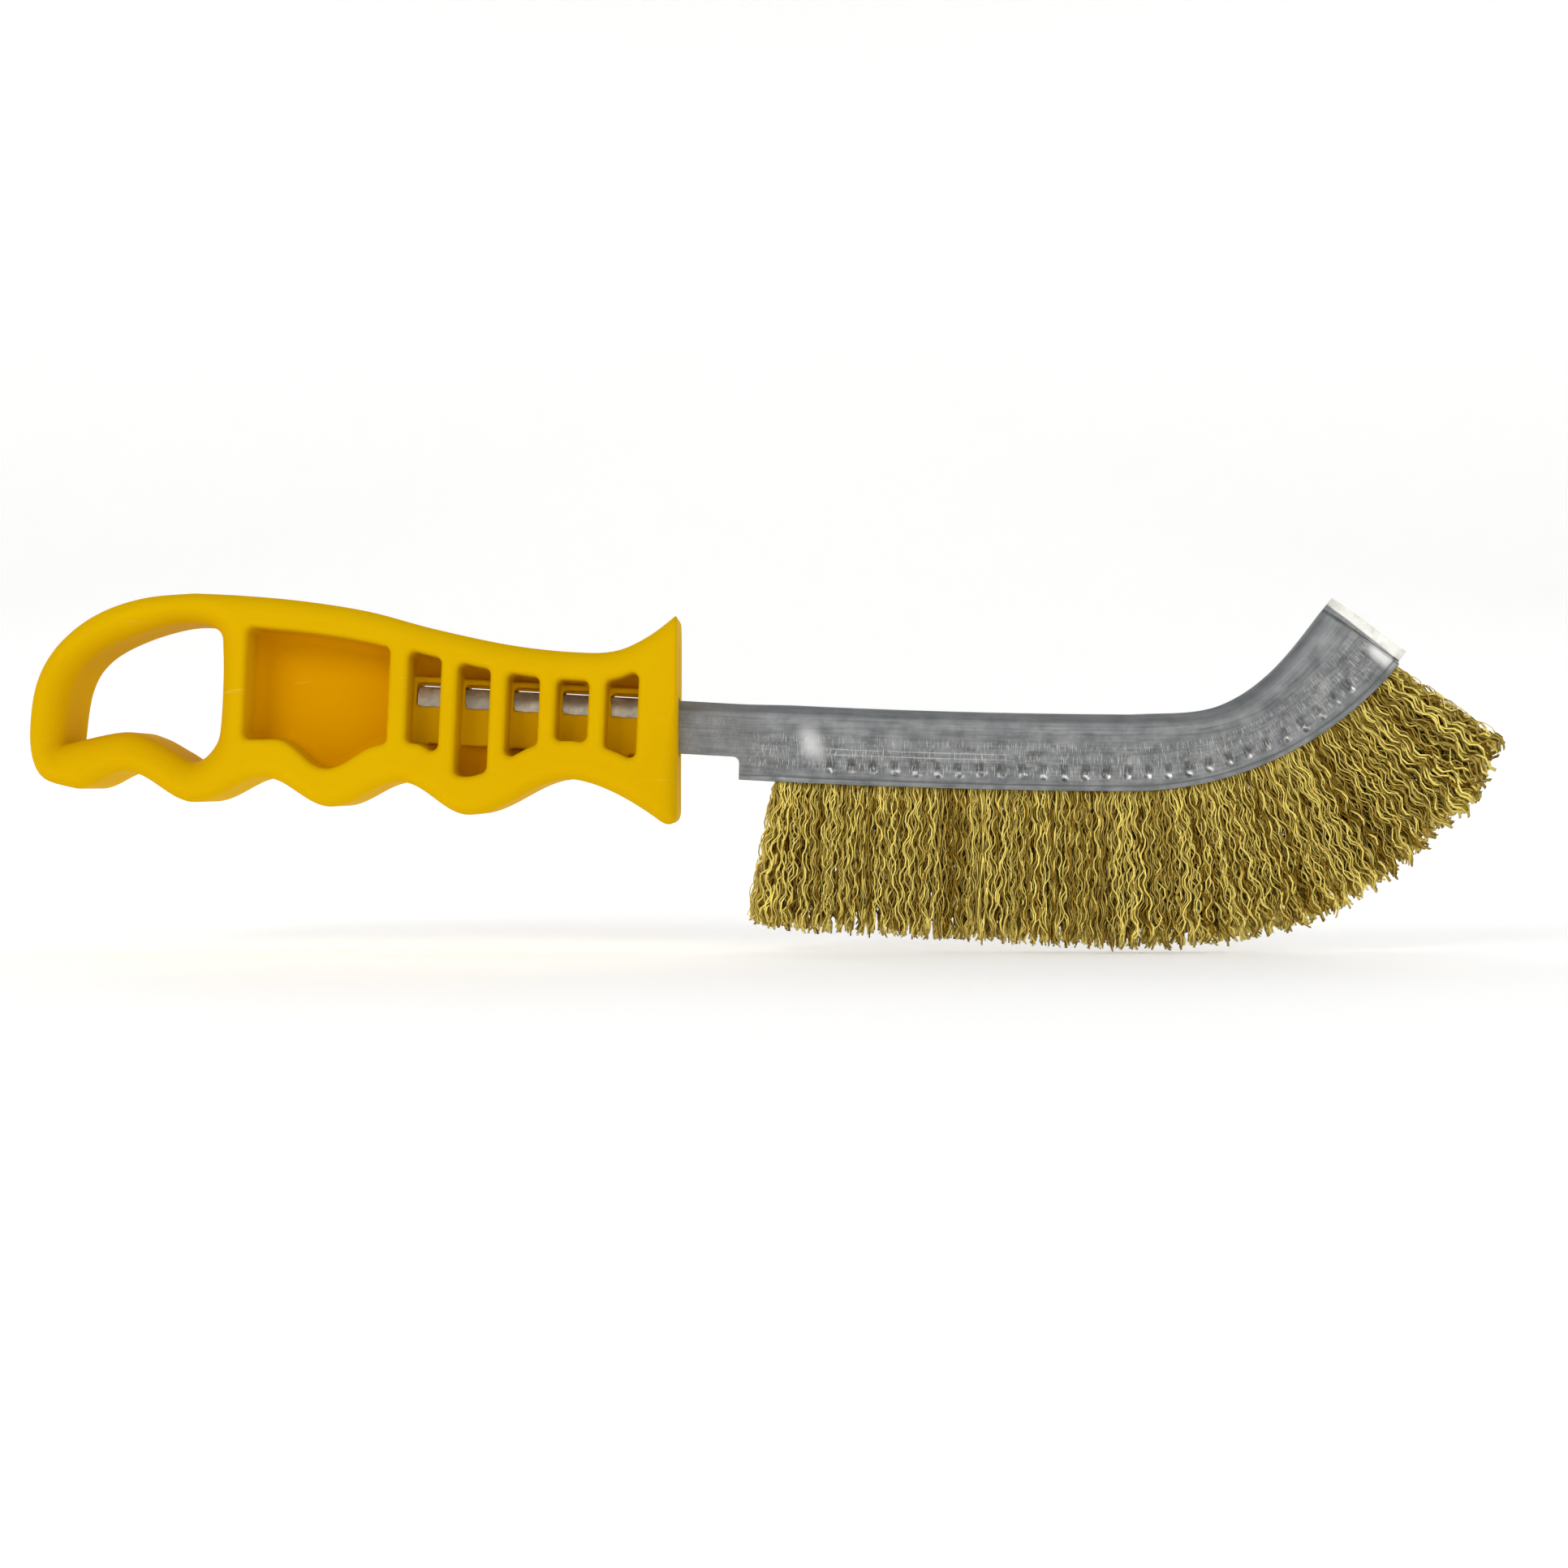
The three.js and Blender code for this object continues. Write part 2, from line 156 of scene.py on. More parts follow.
def connect(tree, shader, links):
    """Joins values to the shader's sockets; plain numbers are set on them."""
    for key, value in links.items():
        if isinstance(value, Shade):
            tree.tree.links.new(value.socket, shader.inputs[key])
        else:
            shader.inputs[key].default_value = value


def make_object(name, points, face_sets, material):
    """Puts points, in metres, and sets of faces, each of one number of corners, into
    a new smooth object at the origin."""
    mesh = bpy.data.meshes.new(name)
    mesh.vertices.add(len(points))
    mesh.vertices.foreach_set("co", np.asarray(points, np.float32).ravel())
    corners = np.concatenate([np.ravel(faces) for faces in face_sets]).astype(np.int32)
    mesh.loops.add(len(corners))
    mesh.loops.foreach_set("vertex_index", corners)
    sides = np.concatenate([np.full(len(faces), faces.shape[1]) for faces in face_sets])
    mesh.polygons.add(len(sides))
    starts = np.cumsum(sides) - sides
    mesh.polygons.foreach_set("loop_start", starts.astype(np.int32))
    mesh.polygons.foreach_set("use_smooth", np.full(len(sides), True))
    mesh.update(calc_edges=True)
    mesh.validate()
    mesh.materials.append(material)
    made = bpy.data.objects.new(name, mesh)
    bpy.context.scene.collection.objects.link(made)
    return made


def grid_faces(rows, columns, close_rows=False, close_columns=False):
    """Four-sided faces between neighbouring points of a rows by columns grid."""
    row = np.arange(rows if close_rows else rows - 1)[:, None]
    column = np.arange(columns if close_columns else columns - 1)[None, :]
    next_row = (row + 1) % rows
    next_column = (column + 1) % columns
    around = [
        row * columns + column,
        row * columns + next_column,
        next_row * columns + next_column,
        next_row * columns + column,
    ]
    shape = (row.size, column.size)
    return np.stack([np.broadcast_to(a, shape) for a in around], -1).reshape(-1, 4)


def sweep_points():
    """The stage: its profile runs along the floor, round a quarter circle and up the
    wall, and is turned about the vertical axis."""
    bend = np.linspace(0, math.pi / 2, 17)
    curve = FLOOR_RADIUS + SWEEP_RADIUS * np.sin(bend)
    radius = np.concatenate([[STAGE_MIDDLE, 0.3, 0.6], curve, curve[-1:]])
    height = np.concatenate([[0, 0, 0], SWEEP_RADIUS * (1 - np.cos(bend)), [WALL_HEIGHT]])
    turn = np.linspace(0, 2 * math.pi, 97)[:-1, None]
    x, y = radius * np.cos(turn), radius * np.sin(turn)
    return np.stack([x, y, np.broadcast_to(height, x.shape)], -1)


paper, tree, shader = start_material("stage_paper")
fibre = tree.node("ShaderNodeTexCoord", None, None, output="Object").noise(40, 4)
connect(tree, shader, {"Base Color": STAGE_WHITE, "Roughness": fibre * 0.1 + 0.75})
shader.inputs["Specular IOR Level"].default_value = 0.2
shader.inputs["Emission Color"].default_value = (1, 1, 1, 1)
shader.inputs["Emission Strength"].default_value = STAGE_GLOW
sweep = sweep_points()
faces = grid_faces(sweep.shape[0], sweep.shape[1], close_rows=True)[:, ::-1]
stage = make_object("stage", sweep.reshape(-1, 3), [faces], paper)

for name, (place, size, watts) in LIGHTS.items():
    light = bpy.data.lights.new(name, "AREA")
    light.shape = "SQUARE"
    light.size = size
    light.energy = watts
    lamp = bpy.data.objects.new(name, light)
    lamp.location = place
    aim = Vector(LIGHT_AIM) - Vector(place)
    lamp.rotation_euler = aim.to_track_quat("-Z", "Y").to_euler()
    bpy.context.scene.collection.objects.link(lamp)

sky = bpy.data.worlds.new("sky")
sky.use_nodes = True
sky.node_tree.nodes["Background"].inputs["Color"].default_value = (1, 1, 1, 1)
sky.node_tree.nodes["Background"].inputs["Strength"].default_value = SKY_STRENGTH
bpy.context.scene.world = sky

# --- Handle ---------------------------------------------------------------------
# One moulding in hard yellow plastic: a hang loop, a blind pocket and five windows
# between ribs on each side of a central web, and a flat-fronted guard. A sleeve
# across the windows holds the steel tang, and slots in it bare the steel.

MM = 0.001
HALF_THICKNESS = 10.0
EDGE_RADIUS = 3.0
RIM_RADIUS = 1.1
POCKET_CORNER = 1.2
FLOOR_FILLET = 1.8
DRAFT = 0.02  # how much the pockets narrow for each unit of depth
WEB_HALF = 1.0
GUARD_X = -17.1
GUARD_EDGE = (3.2, 0.5)  # its front edge's radius at the foot and at the top
HOLE_EDGE = 4.5
POCKET_TOP_RIM = 5.6
WINDOW_TOP_RIM = 5.0
GRIP_RIM = 6.7
BIG_POCKET = (-93.0, -67.8)
WINDOW_LEFT = -64.5
WINDOW_PITCH = 8.7
WINDOW_WIDTH = 5.8
WINDOW_COUNT = 5
RIB_LEAN = 0.045
RIB_MID_Z = 45.0
TANG_START = (-64.4, 34.36)
TANG_SLOPE = math.radians(-3.2)
SLEEVE_HALF = 3.0
SLEEVE_SPAN = (-1.5, 42.7)
SLEEVE_RISE = (3.3, 15.3)
SLEEVE_CORNER = 0.8
SLEEVE_EDGE = 0.5
SLEEVE_FILLET = 0.4
SOCKET_HALF = 2.3
SOCKET_SPAN = (-0.1, 58)
SOCKET_RISE = (3.95, 13.75)
SOCKET_CORNER = 0.3
SOCKET_EDGE = 0.1
SLOT_RISE = (10.0, 14.2)
SLOT_CORNER = 0.7
SLOT_EDGE = 0.2
SLOT_PAST = 0.6  # how far the slots run out past the sleeve's face
PAST_GUARD = 4.5  # how far the side view runs on past the guard's front
RECESS_SHADE_DEPTH = (3.6, 1.3)  # height over the web where the painted shade, a deeper orange, starts, and is full
RECESS_SHADE_INSET = (-3.2, -4.8)  # the same for the distance to the outline
RECESS_SHADE_CLEAR = (2.0, 3.2)  # and for the distance to the loop's hole
VOXEL = 0.5
FIELD_LOW = np.array([-132.5, -10.75, 20.3])
FIELD_COUNTS = (234, 44, 90)
DRAWING_PITCH = 0.25
DRAWING_LOW = (-136.0, 14.0)
DRAWING_SIZE = (516, 216)

TOP_EDGE = [
    (-17.1, 60.3), (-22.1, 56.5), (-27.8, 53.9), (-34.7, 53.6), (-46.1, 54.8),
    (-59.9, 57.7), (-71.4, 60.75), (-82.9, 62.6), (-93.8, 63.6), (-102.3, 64.0),
]
LOOP_END = [
    (-102.3, 64.0), (-110.4, 63.3), (-117.3, 61.3), (-123.0, 58.0), (-127.6, 53.2),
    (-130.3, 47.3), (-131.25, 39.8), (-130.7, 34.4), (-128.5, 31.1), (-123.0, 29.5),
]
FINGER_WAVES = np.array([
    (-123.0, 29.5), (-114.4, 32.55), (-102.3, 27.15), (-90.05, 31.5),
    (-78.3, 26.35), (-66.0, 30.7), (-53.9, 24.9), (-36.1, 31.2),
])
GUARD_FOOT_Z = 21.4
LOOP_HOLE = [
    (-125.8, 37.3), (-124.4, 46.9), (-120.9, 52.5), (-113.8, 56.4), (-105.0, 58.7),
    (-98.6, 57.7), (-97.5, 53.4), (-97.9, 41.1), (-99.1, 36.8), (-102.4, 34.2),
    (-106.2, 36.1), (-110.8, 38.6), (-115.6, 39.5), (-125.8, 37.3),
]


def rise(value, start, end):
    """Goes smoothly from 0 to 1 as the value goes from start to end."""
    t = np.clip((value - start) / (end - start), 0, 1)
    return t * t * (3 - 2 * t)


def blend(first, second, share):
    """The first where the share is 0, the second where it is 1."""
    return first + (second - first) * share


def through(knots, count):
    """A smooth curve through the knots: on each stretch a cubic whose end slopes are
    half the way between the knots on either side."""
    knots = np.asarray(knots)
    place = np.linspace(0, len(knots) - 1, count + 1)
    i = np.minimum(place.astype(int), len(knots) - 2)
    t = (place - i)[:, None]
    start, end = knots[i], knots[i + 1]
    leave = (end - knots[np.maximum(i - 1, 0)]) / 2
    arrive = (knots[np.minimum(i + 2, len(knots) - 1)] - start) / 2
    cubic = (2 * start - 2 * end + leave + arrive) * t**3
    return cubic + (3 * end - 3 * start - 2 * leave - arrive) * t**2 + leave * t + start


def finger_height(x):
    """The finger edge: half cosine waves between its bumps and hollows, and a
    steepening sweep down to the guard's foot."""
    i = np.clip(np.searchsorted(FINGER_WAVES[:, 0], x, side="right") - 1, 0, 6)
    (x0, z0), (x1, z1) = FINGER_WAVES[i].T, FINGER_WAVES[i + 1].T
    t = np.clip((x - x0) / (x1 - x0), 0, 1)
    wave = z0 + (z1 - z0) * (1 - np.cos(np.pi * t)) / 2
    end_x, end_z = FINGER_WAVES[-1]
    flare = np.maximum(x - end_x, 0) / (GUARD_X - end_x)
    return np.where(x > end_x, end_z + (GUARD_FOOT_Z - end_z) * flare**1.6, wave)


def handle_outline():
    """The handle from the side, run on past the guard, where it is cut off flat."""
    past = GUARD_X + PAST_GUARD
    fingers = np.linspace(FINGER_WAVES[0, 0], past, 360)
    return np.concatenate([
        [(past, 63.7)],
        through(TOP_EDGE, 90),
        through(LOOP_END, 90)[1:],
        np.stack([fingers, finger_height(fingers)], -1)[1:],
    ])


def pocket_outline(left, right, top_rim):
    """A pocket from the side: upright walls that lean with the ribs, between the top
    edge and the finger edge moved in by their rims. It is drawn smaller by the
    corner radius, which the distance to it gives back."""
    x = np.linspace(left + POCKET_CORNER, right - POCKET_CORNER, 28)
    slope = (finger_height(x + 0.01) - finger_height(x - 0.01)) / 0.02
    floor = finger_height(x) + GRIP_RIM * np.hypot(1, slope) + POCKET_CORNER
    top_edge = through(TOP_EDGE, 90)[::-1]
    roof = np.interp(x, top_edge[:, 0], top_edge[:, 1]) - top_rim - POCKET_CORNER
    lower = np.stack([x + RIB_LEAN * (floor - RIB_MID_Z), floor], -1)
    upper = np.stack([x + RIB_LEAN * (roof - RIB_MID_Z), roof], -1)
    return np.concatenate([lower, upper[::-1]])


def distance_to(outline, x, z):
    """Signed distance to a closed outline, less than 0 inside: the least distance to
    any side of it, its sign by the crossings of a level ray."""
    least = np.full(x.shape, np.inf)
    inside = np.zeros(x.shape, bool)
    for (ax, az), (bx, bz) in zip(outline, np.roll(outline, -1, axis=0)):
        dx, dz = bx - ax, bz - az
        along = np.clip(((x - ax) * dx + (z - az) * dz) / max(dx * dx + dz * dz, 1e-12), 0, 1)
        least = np.minimum(least, (x - ax - along * dx) ** 2 + (z - az - along * dz) ** 2)
        if dz:
            inside ^= ((az > z) != (bz > z)) & (x < ax + (z - az) * dx / dz)
    return np.where(inside, -1, 1) * np.sqrt(least)


def drawing(outlines):
    """The distance to the nearest of some outlines, kept on a flat grid."""
    x = DRAWING_LOW[0] + DRAWING_PITCH * np.arange(DRAWING_SIZE[0])[:, None]
    z = DRAWING_LOW[1] + DRAWING_PITCH * np.arange(DRAWING_SIZE[1])[None, :]
    x, z = np.broadcast_arrays(x, z)
    return np.min([distance_to(outline, x, z) for outline in outlines], axis=0)


def look_up(field, x, z):
    """A drawing's value between its grid points, by straight lines both ways."""
    i = (x - DRAWING_LOW[0]) / DRAWING_PITCH
    j = (z - DRAWING_LOW[1]) / DRAWING_PITCH
    i0 = np.clip(i.astype(int), 0, DRAWING_SIZE[0] - 2)
    j0 = np.clip(j.astype(int), 0, DRAWING_SIZE[1] - 2)
    a, b = i - i0, j - j0
    near = field[i0, j0] * (1 - a) + field[i0 + 1, j0] * a
    far = field[i0, j0 + 1] * (1 - a) + field[i0 + 1, j0 + 1] * a
    return near * (1 - b) + far * b


def meet(first, second, radius):
    """What two shapes share, where their sides meet in an edge of the radius: the
    larger distance, and near the edge the distance to the rounding's circle."""
    corner = np.hypot(np.maximum(first + radius, 0), np.maximum(second + radius, 0))
    return np.minimum(np.maximum(first, second), -radius) + corner


def join(first, second, radius):
    """Two shapes together, with a fillet of the radius between them."""
    return -meet(-first, -second, radius)


def between(value, ends):
    """Distance outside a range, less than 0 within it."""
    return np.abs(value - sum(ends) / 2) - (ends[1] - ends[0]) / 2


SIDE_VIEW = drawing([handle_outline()])
HOLE_VIEW = drawing([through(LOOP_HOLE, 90)[1:]])
WINDOWS = [WINDOW_LEFT + i * WINDOW_PITCH for i in range(WINDOW_COUNT)]
POCKET_VIEW = drawing(
    [pocket_outline(*BIG_POCKET, POCKET_TOP_RIM)]
    + [pocket_outline(left, left + WINDOW_WIDTH, WINDOW_TOP_RIM) for left in WINDOWS]
) - POCKET_CORNER


def handle_distance(x, y, z):
    """Signed distance to the moulding: the side view carried across the thickness
    with rounded edges, less the loop's hole with a fuller rounding, cut flat at the
    guard, less the pockets, with the sleeve joined on, less the socket and the slots,
    which stop at the web."""
    across = np.abs(y)
    body = meet(look_up(SIDE_VIEW, x, z), across - HALF_THICKNESS, EDGE_RADIUS)
    body = meet(body, -look_up(HOLE_VIEW, x, z), HOLE_EDGE)
    body = meet(body, x - GUARD_X, blend(*GUARD_EDGE, rise(z, 30, 50)))
    wall = look_up(POCKET_VIEW, x, z) + DRAFT * (HALF_THICKNESS - across)
    pocket = meet(wall, WEB_HALF - across, FLOOR_FILLET)
    body = meet(body, -pocket, RIM_RADIUS)

    ahead, up = x - TANG_START[0], z - TANG_START[1]
    s = ahead * math.cos(TANG_SLOPE) + up * math.sin(TANG_SLOPE)
    v = up * math.cos(TANG_SLOPE) - ahead * math.sin(TANG_SLOPE)
    sleeve = meet(between(s, SLEEVE_SPAN), between(v, SLEEVE_RISE), SLEEVE_CORNER)
    sleeve = meet(sleeve, across - SLEEVE_HALF, SLEEVE_EDGE)
    body = join(body, sleeve, SLEEVE_FILLET)
    socket = meet(between(s, SOCKET_SPAN), between(v, SOCKET_RISE), SOCKET_CORNER)
    socket = np.maximum(socket, across - SOCKET_HALF)
    body = meet(body, -socket, SOCKET_EDGE)
    middles = np.array([left - TANG_START[0] + WINDOW_WIDTH / 2 for left in WINDOWS])
    nearest = np.abs(s[..., None] - middles).min(-1) - WINDOW_WIDTH / 2
    slot = meet(nearest, between(v, SLOT_RISE), SLOT_CORNER)
    slot = np.maximum(slot, between(across, (WEB_HALF, SLEEVE_HALF + SLOT_PAST)))
    return meet(body, -slot, SLOT_EDGE)


def skin(field, low, pitch):
    """The surface where a field on a grid of cells is 0. Each cell that it crosses
    gets one point, the mean of the crossings on the cell's twelve edges, and each
    crossed edge gets a face between the four cells around it."""
    cells = tuple(n - 1 for n in field.shape)
    total, hits = np.zeros(cells + (3,)), np.zeros(cells)
    crossed = []
    for axis in range(3):
        line = np.moveaxis(field, axis, 0)
        start, end = line[:-1], line[1:]
        crosses = (start < 0) != (end < 0)
        crossed.append((crosses, start < 0))
        part = np.where(crosses, start / np.where(crosses, start - end, 1), 0)
        place = np.stack(np.indices(crosses.shape), -1).astype(float)
        place[..., 0] += part
        order = [axis] + [a for a in range(3) if a != axis]
        place = place[..., np.argsort(order)] * crosses[..., None]
        sums, counts = np.moveaxis(total, axis, 0), np.moveaxis(hits, axis, 0)
        rows, columns = crosses.shape[1] - 1, crosses.shape[2] - 1
        for i in (0, 1):
            for j in (0, 1):
                sums += place[:, i : rows + i, j : columns + j]
                counts += crosses[:, i : rows + i, j : columns + j]
    kept = hits > 0
    number = np.full(cells, -1)
    number[kept] = np.arange(kept.sum())
    points = total[kept] / hits[kept][:, None] * pitch + low
    faces = []
    for axis, (crosses, leaves) in enumerate(crossed):
        cell = np.moveaxis(number, axis, 0)
        here = crosses[:, 1:-1, 1:-1]
        around = [cell[:, :-1, :-1], cell[:, 1:, :-1], cell[:, 1:, 1:], cell[:, :-1, 1:]]
        quads = np.stack([a[here] for a in around], -1)
        outward = leaves[:, 1:-1, 1:-1][here] != (axis == 1)
        faces.append(np.where(outward[:, None], quads, quads[:, ::-1]))
    return points, np.concatenate(faces)


def settle(distance, points, rounds=3, reach=0.03, flattest=0.25, farthest=0.3):
    """Moves points onto the surface where the distance is 0, down its slope, and
    gives the slope's directions, which are the surface's normals."""
    for _ in range(rounds):
        ways = reach * np.eye(3)
        slope = np.stack(
            [distance(*(points + w).T) - distance(*(points - w).T) for w in ways], -1
        ) / (2 * reach)
        steep = np.maximum((slope**2).sum(-1), flattest)
        move = np.clip(distance(*points.T) / steep, -farthest, farthest)
        points = points - move[:, None] * slope
    return points, slope / np.linalg.norm(slope, axis=1)[:, None].clip(1e-9)


grid = [low + VOXEL * np.arange(count) for low, count in zip(FIELD_LOW, FIELD_COUNTS)]
field = handle_distance(*np.meshgrid(*grid, indexing="ij"))
points, faces = skin(field, FIELD_LOW, VOXEL)
points, normals = settle(handle_distance, points)

plastic, tree, shader = start_material("yellow_plastic")
place = tree.node("ShaderNodeTexCoord", None, None, output="Object")
cloud = place.noise(30, 3)
grain = place.noise(2600, 2, 0.6)
orange_peel = place.noise(420, 2, 0.4)
scuff = place.stretched((60, 60, 900), (0.3, 0.9, 0.2)).noise(1.0, 3, 0.6).step(0.66, 0.72)
scuff = scuff * place.noise(45, 2).step(0.5, 0.62)
yellow = cloud.step(0.3, 0.7).mix((0.69, 0.395, 0.001, 1), (0.715, 0.425, 0.001, 1))
# Painted shade: the deep floors and walls of the pockets and windows turn a deeper orange,
# standing in for the shade and bounced light in them.
recess_shade = tree.node("ShaderNodeAttribute", {"attribute_name": "recess_shade"}, None, output="Fac")
yellow = recess_shade.mix(yellow, (0.70, 0.325, 0.0, 1))
yellow = (scuff * 0.2).mix(yellow, (0.84, 0.60, 0.09, 1))
relief = orange_peel * 0.8 + grain * 0.2 - scuff * 0.15
bump = tree.node(
    "ShaderNodeBump", None, {"Strength": 0.25, "Distance": 0.0001, "Height": relief}
)
connect(tree, shader, {
    "Base Color": yellow,
    "Roughness": cloud * 0.12 + grain * 0.06 + scuff * 0.1 + 0.38,
    "Normal": bump,
    "Specular IOR Level": 0.004,
    "Specular Tint": (1.0, 0.72, 0.08, 1),
    "IOR": 1.4,
})

handle = make_object("handle_moulding", points * MM, [faces], plastic)
handle.data.normals_split_custom_set_from_vertices(normals.astype(np.float32))
x, y, z = points.T
# Where the painted recess shade lies: near the web, in from the outline and clear of the loop's
# hole.
recess_shade = rise(np.abs(y), *RECESS_SHADE_DEPTH) * rise(look_up(SIDE_VIEW, x, z), *RECESS_SHADE_INSET)
recess_shade = recess_shade * rise(look_up(HOLE_VIEW, x, z), *RECESS_SHADE_CLEAR)
layer = handle.data.attributes.new("recess_shade", "FLOAT", "POINT")
layer.data.foreach_set("value", recess_shade.astype(np.float32))
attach(handle, "root")
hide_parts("handle")

# --- Brush strip ----------------------------------------------------------------
# A galvanised steel sheet folded into a channel. Its legs are squeezed together
# into the tang at the handle, spread where the wires are, and pinched flat at the
# end of the hook. A row of punched dimples bites into the wires.

STRIP_DEPTH = 13.6
SHEET = 0.7
SPINE_RISE = 2.3
HOOK_SPINE_RISE = 4.1
FULL_GAP = 2.5  # half the inside width over the wires
TANG_GAP = 1.5
SHUT_GAP = 0.1
TANG_UNDERCUT = 4.1
NOTCH_RADIUS = 1.2
TANG_LENGTH = 58.0
BOW_LENGTH = 69.5
BOW_TURN = math.radians(2.9)
HOOK_RADIUS = 62.45
HOOK_TURN = math.radians(53.6)
HOOK_START = TANG_LENGTH + BOW_LENGTH
LIP_LENGTH = HOOK_START + HOOK_RADIUS * HOOK_TURN
BUNDLE_COUNT = 30
WIRE_START = 64.7
WIRE_END = 179.2
BUNDLE_PITCH = (WIRE_END - WIRE_START) / BUNDLE_COUNT
DIMPLE_HEIGHT = 2.9
DIMPLE_DEPTH = 0.58
DIMPLE_RIM = 0.16
DIMPLE_TAIL = 0.10
LIP_TURN_OUT = 0.10
SHOULDER = (59.5, 69.5)  # where the legs spread from the tang to the channel
FLAT_AT_LIP = 2.0  # length of the end's flat, and how much longer it is on top
FLAT_GROWTH = 1.4
PINCH_LENGTH = 1.3
DEPTH_CHANGES = [  # how much deeper the strip gets, and where it does so
    (0.02, (57, 68)), (-0.095, (131, 149)), (0.28, (148, 184)),
]


def lip_line(s):
    """Place and heading of the lip at the distance s from the tang's inner end: a
    straight, then two round stretches, each starting where the last one ends."""
    straight = np.minimum(s, TANG_LENGTH)
    heading = TANG_SLOPE
    x = TANG_START[0] + straight * math.cos(heading)
    z = TANG_START[1] + straight * math.sin(heading)
    stretches = [
        (np.clip(s - TANG_LENGTH, 0, BOW_LENGTH), BOW_LENGTH / BOW_TURN),
        (np.maximum(s - HOOK_START, 0), HOOK_RADIUS),
    ]
    for length, radius in stretches:
        turned = heading + length / radius
        x = x + radius * (np.sin(turned) - np.sin(heading))
        z = z + radius * (np.cos(heading) - np.cos(turned))
        heading = turned
    return x, z, heading


def along_lip(s, u, v):
    """The place of a point of the section, u across the brush and v up from the lip,
    carried to s and turned square to the lip. Bending the hook draws the spine in a
    little, and pinching its end spreads it out."""
    deeper = sum((more * rise(s, *ends) for more, ends in DEPTH_CHANGES), 1)
    v = np.where(v > 0, v * deeper, v)
    x, z, heading = lip_line(s)
    x, z = x - v * np.sin(heading), z + v * np.cos(heading)
    return np.stack(np.broadcast_arrays(x, u, z), -1)


def half_gap(s, v):
    """Half the channel's inside width: narrow along the tang, spreading over a
    slanted shoulder, and pinched shut behind the end's flat."""
    open_gap = blend(TANG_GAP, FULL_GAP, rise(s + 0.25 * (v - 7), *SHOULDER))
    flat = FLAT_AT_LIP + FLAT_GROWTH * v / STRIP_DEPTH
    return blend(SHUT_GAP, open_gap, rise(LIP_LENGTH - s - flat, 0, PINCH_LENGTH))


def strip_section(s, half, crown_rise):
    """One skin of the sheet at each s: up one straight leg, over half an ellipse and
    down the other leg. The leg's foot is the lip, or the tang's undercut with the
    notch's round corner beside it."""
    back = s - (TANG_LENGTH - NOTCH_RADIUS)
    round_foot = np.sqrt(np.maximum(NOTCH_RADIUS**2 - np.maximum(back, 0) ** 2, 0))
    foot = np.where(s > TANG_LENGTH, 0.0, TANG_UNDERCUT - NOTCH_RADIUS + round_foot)
    share = np.concatenate([np.linspace(0, 0.36, 14), np.linspace(0.36, 1, 10)[1:]])
    share[0] = 0.018  # clear of the lip's round corner
    bent = rise(s, HOOK_START + 2, HOOK_START + 30)
    leg_top = STRIP_DEPTH - blend(SPINE_RISE, HOOK_SPINE_RISE, bent)
    leg = foot[:, None] + (leg_top - foot)[:, None] * share
    bend = np.linspace(0, np.pi, 16)[1:-1]
    top = STRIP_DEPTH - (SPINE_RISE - crown_rise) - leg_top
    crown = leg_top[:, None] + top[:, None] * np.sin(bend)
    v = np.concatenate([leg, crown, leg[:, ::-1]], axis=1)
    ones = np.ones(len(share))
    u = half * np.concatenate([ones, np.cos(bend), -ones])
    return np.broadcast_to(u, v.shape), v, foot


def hammering(s, v, side):
    """How far the outer skin stands off the true section: the dimples with their
    raised rims, the lip's turned-out edge and hem line, and the sheet's long waves,
    which die out at the crown."""
    slot = np.clip(np.round((s - WIRE_START) / BUNDLE_PITCH - 0.5), 2, BUNDLE_COUNT - 2)
    shift = 0.35 * np.sin(slot * 12.9 + side)
    drop = 0.3 * np.sin(slot * 7.3 + 2 * side)
    ahead = s - WIRE_START - (slot + 0.5) * BUNDLE_PITCH - shift
    up = v - DIMPLE_HEIGHT - drop
    size = 0.8 + 0.2 * np.sin(slot * 5.1 + side)
    dimple = -DIMPLE_DEPTH * size * np.exp(-((ahead / 0.62) ** 2) - (up / 0.6) ** 2)
    furrow = -DIMPLE_TAIL * np.exp(-((ahead / 0.9) ** 2)) * rise(v, 2.6, 3.6) * rise(v, 7.0, 4.5)
    ridge = DIMPLE_RIM * np.exp(-(((np.hypot(ahead, up) - 1.25) / 0.45) ** 2))
    over_wires = rise(s, 65, 68) * rise(s, 181, 178)
    waves = 0.05 * np.sin(s * 0.83 + 1.3 * np.sin(v * 0.5) + side)
    waves = waves + 0.04 * np.sin(s * 1.9 + v * 0.9) + 0.05 * np.sin(s * 0.31 - v * 0.7)
    edge = LIP_TURN_OUT * rise(v, 0.9, 0.35) - 0.05 * np.exp(-(((v - 1.0) / 0.2) ** 2))
    step = 0.05 * rise(v, 5.35, 5.15) * over_wires
    shaped = (dimple + ridge + furrow) * over_wires + edge * rise(s, 58, 60) + step
    return shaped + waves * rise(s, 58, 66) * rise(v, 10.5, 7.5)


